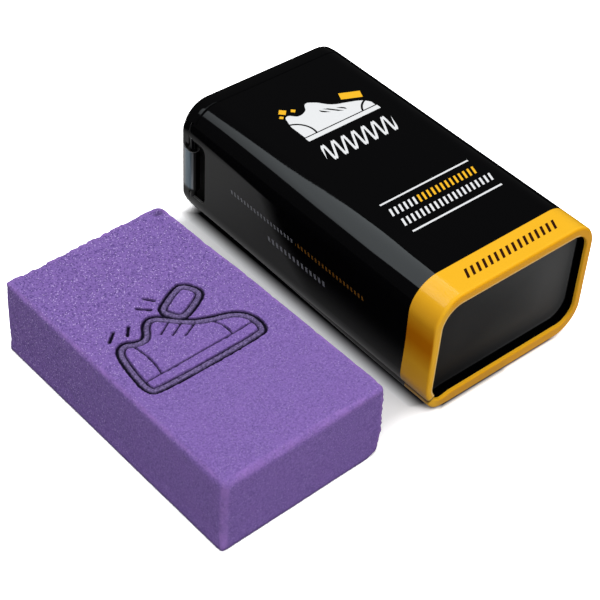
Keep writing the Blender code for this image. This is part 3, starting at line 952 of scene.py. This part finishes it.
def lid_section():
    """The lid's section, with a station moved onto each end of the skirt's cut-back part beside the hinge."""
    section = wall_section(hinge_stations(TAB_EDGES, KNUCKLE_MIDDLE), with_supports(BROAD_FLAT))
    relief = 180 - math.degrees(math.acos((-RELIEF_X - CORNER_X) / TIN_CORNER_R))
    for target in (relief, 360 - relief):
        section[np.argmin(np.abs(bearings(section) - target))] = corner_station(target)
    return section


def make_lid(lacquer, tinplate):
    """The lid: a flat plate, its bend and hemmed skirt, and the tab that curls into the knuckle.

    The profile is carried round the section, without the cells of the tab's opening, its notches and the
    cut-back skirt. The tab leaves the bend on a wide arc that touches it, and runs on into the knuckle's circle.
    The wide arc's radius follows from touching the bend above and the knuckle's outermost line below.
    """
    bend_centre = (-LID_BEND_R, LID_TOP - LID_BEND_R)
    across = HINGE_X - KNUCKLE_R
    rise = bend_centre[1] - HINGE_Z
    gap = LID_BEND_R - TIN_WIDTH / 2 - across
    sweep_r = (gap ** 2 + rise ** 2 - LID_BEND_R ** 2) / (2 * (gap - LID_BEND_R))
    leave = math.degrees(math.asin(rise / (sweep_r - LID_BEND_R)))
    profile, section = lid_profile(bend_centre, leave), lid_section()
    wall = swept(section, profile, swell=skirt_lean(section, profile))
    top = plate(wall[0], LID_RINGS)

    around = np.vstack([section, section[:1]])
    mid = (around[:-1] + around[1:]) / 2
    off_middle = np.where(mid[:, 2] < HINGE_SIDE, np.abs(mid[:, 1] - KNUCKLE_MIDDLE), TIN_THICKNESS)
    z_mid = (profile[:-1, 1] + profile[1:, 1]) / 2
    leave_z = bend_centre[1] + LID_BEND_R * math.sin(math.radians(leave))
    gone = np.zeros((len(z_mid), len(mid)), bool)
    for below_z, columns in (
        (RELIEF_TOP, mid[:, 0] < RELIEF_X),
        (NOTCH_TOP, off_middle < NOTCH_HALF),
        (leave_z, off_middle < KNUCKLE_HALF),
    ):
        gone |= (z_mid[:, None] < below_z) & columns[None, :]

    path = joined(
        arc((across + sweep_r, HINGE_Z), sweep_r, 180 - leave, 180, 14),
        arc((HINGE_X, HINGE_Z), KNUCKLE_R, 180, 180 + KNUCKLE_TURN, 64),
    )
    stations = hinge_stations(TAB_EDGES, KNUCKLE_MIDDLE)
    tab = ribbon(path, stations[np.abs(stations - KNUCKLE_MIDDLE) < KNUCKLE_HALF + TINY])
    lid = build_piece("tin_lid", [patch(top, closed=True), patch(wall, keep=~gone, closed=True), patch(tab)])
    finish_sheet(lid, "lid", lacquer, tinplate)
    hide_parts("lid")


# ---- the eraser block: x to its right, y to its rear, from its middle ----

BLOCK_STEP = 0.55 * MM
MARK_STEP = 0.20 * MM


def emblem_lines():
    """The pressed mark in millimetres: closed outlines of a low shoe and a small block, and open strokes."""
    shoe = [
        (-14.4, -10.2), (-15.2, -8.8), (-15.0, -5.2), (-14.4, -1.2), (-13.6, 2.6), (-12.2, 4.2), (-10.2, 2.9),
        (-7.6, 2.3), (-5.4, 3.6), (-3.6, 6.6), (-1.9, 7.0), (-0.2, 5.2), (3.8, 0.9), (7.9, -1.2), (12.2, -2.6),
        (14.4, -4.2), (15.3, -6.4), (15.2, -9.2), (14.2, -10.4)]
    block = [
        (3.3, 6.5), (3.8, 5.4), (4.9, 4.9), (10.8, 7.7), (11.4, 8.8), (10.3, 11.1), (9.1, 11.6), (3.0, 8.7),
        (2.5, 7.8)]
    sole = [(-15.0, -7.2), (-8.0, -7.4), (0.0, -7.2), (8.0, -7.4), (15.3, -7.0)]
    toe = [(8.5, -1.5), (9.3, -3.2), (9.5, -5.2), (9.3, -7.3)]
    heel = [(-10.5, 2.9), (-9.9, -0.6), (-10.1, -4.0), (-10.8, -7.3)]
    laces = [[(-3.4, 2.6), (0.5, 4.7)], [(-1.5, 0.7), (2.5, 2.7)], [(0.8, -1.1), (4.8, 0.7)]]
    strokes = [
        [(-0.2, 10.2), (-2.6, 12.6)], [(2.2, 12.2), (0.8, 14.2)],
        [(-14.0, 7.6), (-11.4, 9.6)], [(-9.6, 6.8), (-7.6, 9.0)]]
    return [shoe, block], [sole, toe, heel, *laces], strokes


def smooth_line(points, closed):
    """Corners cut twice over, by replacing each chord with the points a quarter and three quarters along it.

    A line of two or three points stays as it is.
    """
    line = np.array(points + points[:1] if closed else points, float)
    for _ in range(2 if len(line) > 3 else 0):
        a, b = line[:-1], line[1:]
        cut = np.stack([0.75 * a + 0.25 * b, 0.25 * a + 0.75 * b], 1).reshape(-1, 2)
        line = np.vstack([cut, cut[:1]]) if closed else np.vstack([line[:1], cut, line[-1:]])
    return line


def distance_to_lines(points, lines):
    """Distance from each point to the nearest span of any line, in the points' unit."""
    nearest = np.full(len(points), 1e9)
    for line in lines:
        start, step = line[:-1], np.diff(line, axis=0)
        from_start = points[:, None] - start
        share = np.clip((from_start * step).sum(-1) / (step ** 2).sum(-1), 0, 1)
        nearest = np.minimum(nearest, np.linalg.norm(from_start - share[..., None] * step, axis=-1).min(1))
    return nearest


def enclosed(points, loop):
    """Which points lie inside a closed line: a ray towards +x crosses it an odd number of times."""
    ax, ay = loop[:-1].T
    bx, by = loop[1:].T
    px, py = points[:, :1], points[:, 1:]
    spans = (ay > py) != (by > py)
    rise = np.where(by == ay, 1.0, by - ay)
    return (spans & (px < ax + (py - ay) / rise * (bx - ax))).sum(1) % 2 == 1


def pressed_mark(points):
    """How deep a groove runs under each (x, y) of the block's top, and how far it lies in the mark's ground.

    The shapes keep the block's full height. A band round them is pressed down, with a deep groove along its
    outer edge, which lies at one distance from the shapes, and shallower ones along the shapes' own outlines.
    """
    flat = (points - np.array(EMBLEM_CENTRE)) / MM
    shapes, details, strokes = emblem_lines()
    loops = [smooth_line(shape, closed=True) for shape in shapes]
    wander = 0.06 * lattice_noise(np.pad(points, ((0, 0), (0, 1))), 0.6 * MM, 10)
    outline = distance_to_lines(flat, loops)
    covered = enclosed(flat, loops[0]) | enclosed(flat, loops[1])
    outside = np.where(covered, 0.0, outline)
    border = np.abs(outside - BORDER_AWAY / MM)
    stroke = distance_to_lines(flat, [smooth_line(line, closed=False) for line in strokes])
    detail = distance_to_lines(flat, [smooth_line(line, closed=False) for line in details])
    bold = 1 - ease(*BOLD_LINE, np.minimum(border, stroke) + wander)
    fine = 1 - ease(*FINE_LINE, np.minimum(outline, detail) + wander)
    ground = ease(*GROUND_BAND[:2], outside) * (1 - ease(*GROUND_BAND[2:], outside + wander))
    return np.maximum(bold, 0.75 * fine), ground


def block_stations(half, centre, reach):
    """Stations from -half to half, close together in the rounding at both ends and across the pressed mark."""
    ends = np.cumsum([0.0, 0.08, 0.1, 0.12, 0.14, 0.16, 0.18, 0.2, 0.25]) * MM
    return joined(
        ends - half,
        span(ends[-1] - half, centre - reach, BLOCK_STEP),
        span(centre - reach, centre + reach, MARK_STEP),
        span(centre + reach, half - ends[-1], BLOCK_STEP),
        half - ends[::-1],
    )


def edge_distances(points, half):
    """Distances to the nearest side faces along x and y and to the top, and the second smallest: to the edge."""
    to_face = half - np.abs(points)
    to_face[:, 2] = half[2] - points[:, 2]
    return to_face, np.sort(to_face, axis=1)[:, 1]


def block_wear(points, half):
    """How deep the block is worn at each point, and how far the point lies in the chip at the rear corner.

    The depth is a sum: low lumps and grain all over; nicks along every edge, more of them towards the rear; a
    ragged rear edge, calmer at its right end; the cut rear right corner; the chip, an ellipse; and saw teeth down
    the upright edge at the front right. All noise is smooth and seeded; negative parts are cut off for nicks.
    """
    x, y, z = points.T
    calm = ease(*CALM_REACH, half[0] - x)
    lumps = 0.5 * lattice_noise(points, 9 * MM, 3) + 0.3 * lattice_noise(points, 3.1 * MM, 4)
    nicks = np.maximum(lattice_noise(points, 2.2 * MM, 5) - 0.25, 0)
    nicks += 0.5 * np.maximum(lattice_noise(points, 0.9 * MM, 6) - 0.3, 0)
    nicks *= (1 - ease(*NICK_REACH, edge_distances(points, half)[1])) * (1 + 1.2 * ease(0.0, half[1], y) * calm)
    depth = 0.05 * MM * (1 + lumps) + NICK_DEPTH * nicks + 0.018 * MM * lattice_noise(points, 0.7 * MM, 7)

    rear_edge = 1 - ease(*RAGGED_REACH, np.hypot(half[1] - y, half[2] - z))
    along_edge = points * [1, 0.3, 0.3]
    ragged = lattice_noise(along_edge, 1.3 * MM, 21) + 0.5 * lattice_noise(along_edge, 0.6 * MM, 22)
    depth += RAGGED_DEPTH * rear_edge * np.maximum(ragged - 0.05, 0) * (0.25 + 0.75 * calm)
    depth += CORNER_CUT_DEPTH * (1 - ease(0.0, CORNER_CUT_REACH, half[0] - x + half[1] - y))

    chip = np.linalg.norm((points[:, :2] / MM - CHIP_PLACE) / CHIP_SIZE, axis=1)
    chip = (1 - ease(0.4, 1.2, chip)) * ease(half[2] - 2.6 * MM, half[2] - 0.6 * MM, z)
    depth += CHIP_DEPTH * chip * (1 + 0.4 * lattice_noise(points, 0.8 * MM, 8))
    sawn = 1 - ease(*SAWN_REACH, np.hypot(x - half[0], y + half[1]))
    teeth = lattice_noise(points * [0.1, 0.1, 1.0], 0.62 * MM, 9) + 0.4 * lattice_noise(points, 0.5 * MM, 13)
    return depth + SAWN_DEPTH * sawn * teeth, chip


def pale_edges(points, normal, half):
    """How pale each point is, partly wear and partly painted highlight: along the edges that face up or forward,
    and faintly down the upright ones.
    """
    to_face, to_edge = edge_distances(points, half)
    frontward = normal[:, 1] < -0.2
    upright_edge = (to_face[:, :2].max(1) < 2.0 * MM) & (np.abs(normal[:, 2]) < 0.05)
    facing = ease(-0.5 * frontward, 0.2 - 0.1 * frontward, normal[:, 2]) * (normal[:, 2] > -0.05) + 0.3 * upright_edge
    uneven = 0.65 + 0.35 * lattice_noise(points, 2.5 * MM, 12) + 0.3 * lattice_noise(points, 0.8 * MM, 23)
    return np.clip((1 - ease(*PALE_EDGE_REACH, to_edge - FRONT_PALE_EDGE * frontward)) * uneven * facing, 0, 1)


def face_out(amounts, slope, foot, along):
    """One side face's distance outward: a constant, and parts that grow with slope, foot and place along it."""
    return np.dot(np.stack([np.ones_like(slope), slope, foot, along], -1), amounts) * MM


def lean_out(points, half):
    """Moves each side face out to where the cut block has it: further at the foot, and not the same all round."""
    along_x, along_y = points[:, 0] / half[0], points[:, 1] / half[1]
    height = points[:, 2] + half[2]
    foot = 1 - ease(0, 5 * MM, height)
    slope = np.clip(1 - height / (2 * half[2]), 0, 1)
    near = 1 - ease(8 * MM, 20 * MM, points[:, 1])
    left = half[0] + face_out(LEFT_OUT, slope, foot, along_y)
    right = half[0] + (RIGHT_OUT + near * (RIGHT_NEAR_OUT + RIGHT_UNDERCUT * ease(0, 0.25, slope))) * MM
    front = half[1] + face_out(FRONT_OUT, slope, foot, along_x)
    points[:, 0] *= np.where(points[:, 0] < 0, left, right) / half[0]
    points[:, 1] *= np.where(points[:, 1] < 0, front, half[1] + REAR_OUT * MM) / half[1]
    return points


def block_grids(half):
    """The block's plain box as grids: its top, its four walls as one band, and its base as shrinking rings."""
    xs = block_stations(half[0], EMBLEM_CENTRE[0], EMBLEM_HALF[0])
    ys = block_stations(half[1], EMBLEM_CENTRE[1], EMBLEM_HALF[1])
    zs = joined(
        span(-half[2], -half[2] + BLOCK_FOOT_R, MARK_STEP),
        span(-half[2] + BLOCK_FOOT_R, half[2] - BLOCK_WORN_R, BLOCK_STEP),
        half[2] - BLOCK_WORN_R * np.array([1.0, 0.76, 0.55, 0.38, 0.24, 0.13, 0.05, 0.0]),
    )
    ring = np.concatenate([
        np.stack([xs[:-1], np.full(len(xs) - 1, ys[0])], -1),
        np.stack([np.full(len(ys) - 1, xs[-1]), ys[:-1]], -1),
        np.stack([xs[:0:-1], np.full(len(xs) - 1, ys[-1])], -1),
        np.stack([np.full(len(ys) - 1, xs[0]), ys[:0:-1]], -1),
    ])
    heights = np.broadcast_to(zs[::-1, None, None], (len(zs), len(ring), 1))
    walls = np.concatenate([np.broadcast_to(ring, (len(zs), *ring.shape)), heights], -1)
    top_x, top_y = np.meshgrid(xs, ys)
    top = np.stack([top_x, top_y, np.full(top_x.shape, half[2])], -1)[::-1]
    base = plate(walls[-1], np.array([1.0, 0.97, 0.8, 0.5, 0.2, 0.0]))
    base[..., 2] = -half[2]
    return [patch(top), patch(walls, closed=True), patch(base, closed=True)]


def edge_radius(points, half):
    """The rounding at each point: from the foot's radius up to the top's, which grows where the edges are worn.

    Worn are the front, less so towards the right except at the very corner, and the left. The foot's radius
    grows at the front right corner.
    """
    x, y, z = points.T
    right_corner = ease(half[0] - FRONT_CORNER_REACH, half[0], x) * ease(half[1] - FRONT_CORNER_REACH, half[1], -y)
    front = 1 - ease(-half[1], 0.6 * half[1], y)
    front = front * (1 - 0.80 * ease(0, half[0], x) * (1 - 0.4 * right_corner))
    left = (1 - ease(-half[0], -half[0] + 6 * MM, x)) * (1 - ease(half[1] - 4 * MM, half[1], y))
    upper_r = BLOCK_EDGE_R + (BLOCK_WORN_R - BLOCK_EDGE_R) * np.maximum(front, 0.6 * left)
    lower_r = BLOCK_FOOT_R * (1 + 2.2 * right_corner)
    return (lower_r + (upper_r - lower_r) * ease(-half[2], -half[2] + FOOT_BLEND, z))[:, None]


def make_block(rubber):
    """The eraser block: a rounded box whose faces are worked with wear, nicks, a chip and a pressed mark.

    Every point of a sharp box is drawn back to an inner box and set a radius off it, which rounds the edges. It
    then sinks along its normal by its wear and by the mark's depth, and its face leans out.
    """
    half = np.array(BLOCK_SIZE) / 2
    grids = block_grids(half)
    points = np.concatenate([g.reshape(-1, 3) for g, _ in grids])
    radius = edge_radius(points, half)
    core = np.clip(points, radius - half, half - radius)
    normal = unit(points - core)
    points = core + radius * normal

    depth, chip = block_wear(points, half)
    worn = pale_edges(points, normal, half)
    groove, ground = np.zeros((2, len(points)))
    in_mark = (np.abs(points[:, :2] - EMBLEM_CENTRE) < np.array(EMBLEM_HALF) + 3 * MM).all(1)
    marked = (normal[:, 2] > 0.99) & in_mark
    groove[marked], ground[marked] = pressed_mark(points[marked, :2])
    depth += GROOVE_DEPTH * groove + GROUND_DEPTH * ground * (1 - groove)
    points = lean_out(points - normal * depth[:, None], half)
    points[:, 2] = np.maximum(points[:, 2], -half[2])

    cos, sin = math.cos(BLOCK_TURN), math.sin(BLOCK_TURN)
    spin = np.array([[cos, sin, 0], [-sin, cos, 0], [0, 0, 1]])
    middle = np.array(BLOCK_PLACE) + np.array([0, 0, half[2]])
    ends = np.cumsum([g.size // 3 for g, _ in grids])[:-1]
    worked = [(part.reshape(g.shape), f) for part, (g, f) in zip(np.split(points, ends), grids)]
    # Painted shade in the grooves and the chip
    marks = {"groove_and_chip_shade": np.maximum(0.9 * groove, 0.36 * chip), "ground": ground, "worn": worn}
    block = build_piece("eraser", worked, place=lambda p: p @ spin + middle, attributes=marks)
    block.data.materials.append(rubber)
    shade(block, 50)
    block.visible_glossy = False
    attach(block, "block")
    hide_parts("eraser_block")


# ---- studio ----

CAMERA_PLACE = (-0.2294, -0.2246, 0.2814)
CAMERA_HEADING = (0.6733, 0.7394)
CAMERA_PITCH = math.radians(42.5987)
CAMERA_ROLL = math.radians(-3.4575)
CAMERA_LENS = 99.1

OVERHEAD_STRENGTH = 3.2
OVERHEAD_SPREAD = math.radians(100)
OVERHEAD_TILT = (math.radians(14), math.radians(-2), 0)
ROOM = (0.05, 0.05, 0.05, 1)

# What the floor shows the camera, in the open and in the gap, and what it sends to bounced light and to lacquer.
# The grey in the gap and DARK near the tin and the block are painted shade
FLOOR_WHITE = (2.4, 2.4, 2.4, 1.0)
FLOOR_IN_GAP = (1.06, 1.07, 1.08, 1.0)
FLOOR_BOUNCE = (0.52, 0.52, 0.52, 1.0)
FLOOR_IN_LACQUER = (0.56, 0.56, 0.56, 1.0)
FLOOR_BEFORE_BASE = paint(150, 150, 150)
DARK = paint(8, 8, 9)

# The light card's outline (x, z) in millimetres, upright behind the tin
CARD_Y = 0.5
CARD_STRENGTH = 3.0
CARD_LOW, CARD_HIGH = (0.50, 0.53, 0.55, 1.0), (0.88, 0.96, 1.0, 1.0)
CARD_OUTLINE = [
    (-370, 420), (-170, 530), (-104, 597), (-35, 642), (36, 692), (138, 712), (283, 703), (367, 692), (446, 710),
    (450, 742), (436, 785), (449, 825), (500, 1000), (-760, 1000), (-670, 727), (-634, 662), (-620, 614),
    (-571, 592), (-526, 562), (-454, 550), (-400, 530), (-363, 500)]


def make_camera():
    """The photograph's viewpoint: looking down 42.6 degrees from the front left, with a slight roll."""
    heading = np.array(CAMERA_HEADING) / np.linalg.norm(CAMERA_HEADING)
    forward = np.array([*(heading * math.cos(CAMERA_PITCH)), -math.sin(CAMERA_PITCH)])
    right = np.array([heading[1], -heading[0], 0.0])
    below = np.cross(forward, right)
    across = math.cos(CAMERA_ROLL) * right + math.sin(CAMERA_ROLL) * below
    down = -math.sin(CAMERA_ROLL) * right + math.cos(CAMERA_ROLL) * below
    data = bpy.data.cameras.new("camera")
    data.lens = CAMERA_LENS
    data.sensor_width = 36
    data.clip_start = 0.01
    camera = add_to_scene("camera", data)
    turn = np.stack([across, -down, -forward], axis=1)
    camera.matrix_world = Matrix.Translation(CAMERA_PLACE) @ Matrix(turn.tolist()).to_4x4()
    bpy.context.scene.camera = camera


def length_of(*sides):
    """The root of the sides' squares added up, as a wire."""
    total = 0.0
    for side in sides:
        total = side * side + total
    return total.sqrt()


def make_floor():
    """A wide pale floor, white to the eye, with painted shade between block and tin.

    The eye sees a grey gap of painted shade, its left edge hidden under the block, and painted contact shade close
    along the tin, which ends past the tin's own edges. What the floor throws back as light and what it shows in
    lacquer are set apart: for the light it throws back, the gap is painted dark; in lacquer it is white round the
    tin, painted dark with shadow close behind and beside the block, and falls off to a dark room.
    """
    bpy.ops.mesh.primitive_plane_add(size=60)
    floor = bpy.context.object
    floor.name = "floor"
    f = Finish("pale_floor")
    x, y, _ = f.place()
    camera, glossy, through = (
        f.node("LightPath", out=f"Is {ray} Ray") for ray in ("Camera", "Glossy", "Transmission"))

    open_gap = x.within(-44.0, 0.0, 2.0) & y.above(-50.0, 16.0) & y.below(47.0, 8.0)
    under_block = x.within(-55.0, -42.0, 20.0) & y.within(-38.0, 24.0, 14.0)
    gap = open_gap | under_block
    past_side = x.below(-25.1, 4.2) | x.above(19.0, 6.0)
    past_end = y.above(46.0, 4.0) | y.below(-47.3, 1.2)
    past_seam_corner = (x + y).below(-68.0, 3.0)
    seen = f.mix(past_side | past_end | past_seam_corner, DARK, f.mix(gap, FLOOR_WHITE, FLOOR_IN_GAP))
    bounced = f.mix(gap, FLOOR_BOUNCE, DARK)

    off_tin = length_of(((abs(x) - 26.0) | 0.0) * 1.3, ((abs(y) - 46.85) | 0.0) * 0.8)
    behind_block = (y + 2.0 * (x + 38.0) - 11.0) | 0.0
    before_block = ((-49.5 - y) | 0.0) * 0.7
    off_block = length_of((abs(x + 66.1) - 22.6) | 0.0, behind_block + before_block)
    lit = off_block.above(8.0, 9.0)
    level = f.mix(y.below(-48.0, 6.0), FLOOR_IN_LACQUER, FLOOR_BEFORE_BASE)
    mirrored = f.mix(off_tin.below(57.0, 55.0) & (lit * lit), DARK, level)

    unseen = f.mix(glossy | through, bounced, mirrored)
    f.set(Base_Color=f.mix(camera, unseen, seen), Roughness=1.0, Specular_IOR_Level=0.0)
    floor.data.materials.append(f.material)


def make_lights():
    """A broad overhead light, a tall light card behind on the left that only reflections show, and a dim room."""
    sun = bpy.data.lights.new("overhead", "SUN")
    sun.energy = OVERHEAD_STRENGTH
    sun.angle = OVERHEAD_SPREAD
    overhead = add_to_scene("overhead", sun)
    overhead.rotation_euler = OVERHEAD_TILT
    overhead.visible_glossy = False

    outline = np.array(CARD_OUTLINE) * MM
    corners = np.stack([outline[:, 0], np.full(len(outline), CARD_Y), outline[:, 1]], -1)
    mesh = bpy.data.meshes.new("light_card")
    mesh.from_pydata(corners.tolist(), [], [list(range(len(corners)))])
    card = add_to_scene("light_card", mesh)
    f = Finish("light_card")
    _, _, z = f.place()
    glow = f.mix(z.above(580.0, 220.0), CARD_LOW, CARD_HIGH)
    f.set(Base_Color=(0, 0, 0, 1), Specular_IOR_Level=0.0, Emission_Color=glow, Emission_Strength=CARD_STRENGTH)
    mesh.materials.append(f.material)
    card.visible_camera = card.visible_diffuse = card.visible_shadow = card.visible_transmission = False

    world = bpy.data.worlds.new("room")
    world.use_nodes = True
    world.node_tree.nodes["Background"].inputs["Color"].default_value = ROOM
    bpy.context.scene.world = world
    bpy.context.scene.view_settings.view_transform = "Standard"


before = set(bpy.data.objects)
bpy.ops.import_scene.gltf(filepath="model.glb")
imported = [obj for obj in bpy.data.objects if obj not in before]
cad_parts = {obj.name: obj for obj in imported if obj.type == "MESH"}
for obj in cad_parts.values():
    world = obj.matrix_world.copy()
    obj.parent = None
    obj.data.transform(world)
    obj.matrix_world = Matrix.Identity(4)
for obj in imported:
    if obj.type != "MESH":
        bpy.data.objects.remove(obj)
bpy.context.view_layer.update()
make_camera()
tinplate = bare_tinplate()
make_body(printed_lacquer(), tinplate)
make_pan(plate_lacquer())
make_lid(lid_lacquer(), tinplate)
make_block(crumb_rubber())
make_floor()
make_lights()
